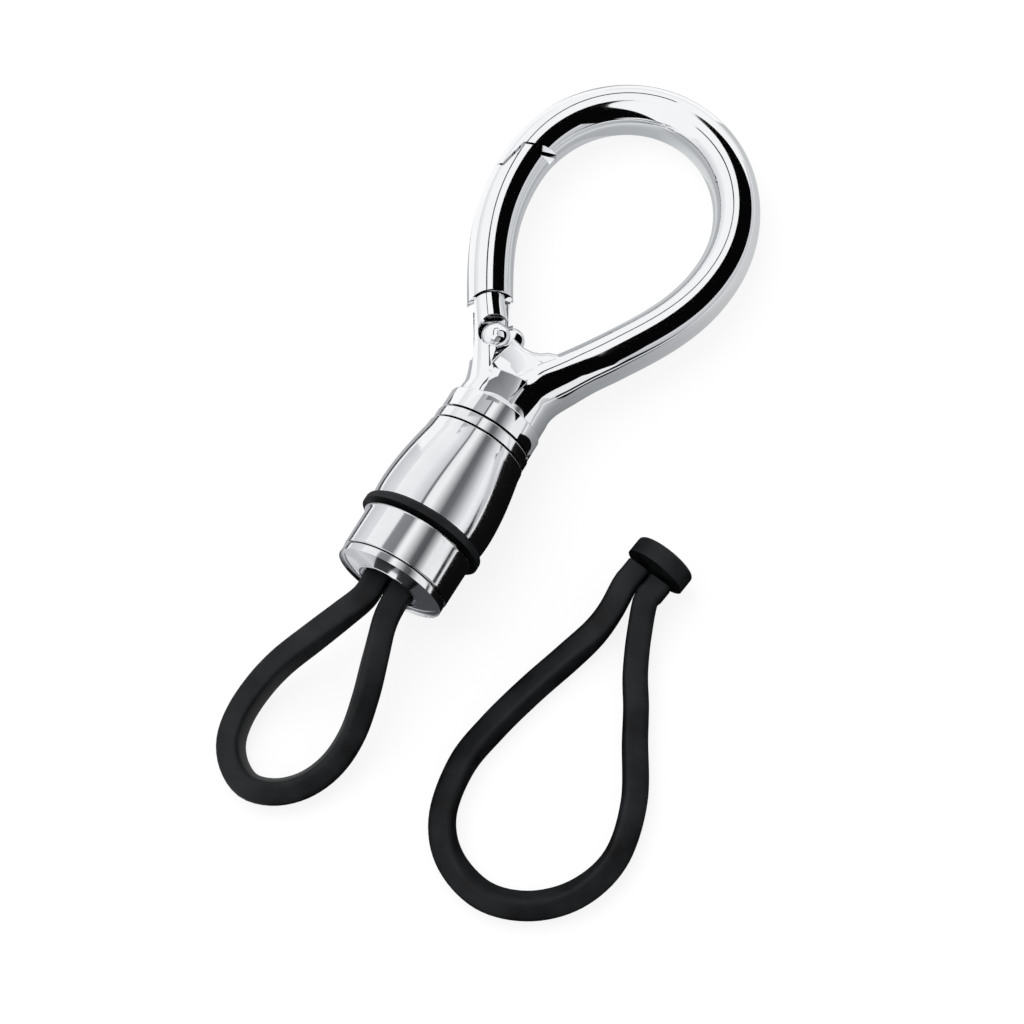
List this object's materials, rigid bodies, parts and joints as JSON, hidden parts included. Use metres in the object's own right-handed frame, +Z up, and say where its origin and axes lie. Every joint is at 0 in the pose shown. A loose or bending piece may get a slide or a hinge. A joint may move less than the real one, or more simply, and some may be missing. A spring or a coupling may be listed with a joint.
{
  "type": "carabiner keychain",
  "caption": "Chromed spring-gate ring hook on a swivelling barrel whose screwed end cap holds a black rubber cord loop, with a spare loop beside it.",
  "frame": {"origin": "bottom centre of the hook and barrel's bounding box, on the surface that they lie on", "axes": "+Z up, normal to the resting surface; +Y along the barrel towards the ring's far end; +X across, towards the spare loop"},
  "size_m": [0.0604, 0.1093, 0.0167],
  "materials": {
    "chrome": "mirror-polished chrome plating on a zinc casting",
    "steel": "plain bright steel",
    "rubber": "matt black moulded rubber"
  },
  "bodies": {
    "hook": {"hook_frame": "chrome", "hinge_rivet": "chrome", "swivel_screw": "steel", "thrust_washer": "steel"},
    "gate": {"gate_arm": "chrome", "gate_spring": "steel"},
    "barrel": {"barrel_shell": "chrome", "swivel_ring": "chrome", "band_ring": "rubber"},
    "loop": {"loop_cord": "rubber", "loop_stopper": "rubber"},
    "cap": {"cap_sleeve": "chrome", "end_ring": "chrome"},
    "spare_loop": {"spare_cord": "rubber", "spare_stopper": "rubber"}
  },
  "joints": [
    {"name": "gate_hinge", "type": "hinge", "parent": "hook", "child": "gate", "pos_m": [-0.00515, -0.00338, 0.0064], "axis": [0, -0.0731, -0.9973], "range_deg": [0, 45], "stiffness_Nm_per_rad": 0.02, "springref_deg": -34.38},
    {"name": "barrel_swivel", "type": "hinge", "parent": "hook", "child": "barrel", "pos_m": [0, -0.01525, 0.00727], "axis": [0, -0.9973, 0.0731], "continuous": true},
    {"name": "loop_slide", "type": "slide", "parent": "barrel", "child": "loop", "axis": [0, -0.9973, 0.0731], "range_m": [0, 0.00375]},
    {"name": "cap_turn", "type": "hinge", "parent": "loop", "child": "cap", "pos_m": [0, -0.03151, 0.00846], "axis": [0, -0.9973, 0.0731], "range_deg": [0, 1800]},
    {"name": "spare_lift", "type": "slide", "parent": "hook", "child": "spare_loop", "axis": [0, 0, 1], "range_m": [0, 0.04]}
  ],
  "couplings": [
    {"joint": "loop_slide", "follows": "cap_turn", "m_per_rad": 0.00011937}
  ]
}
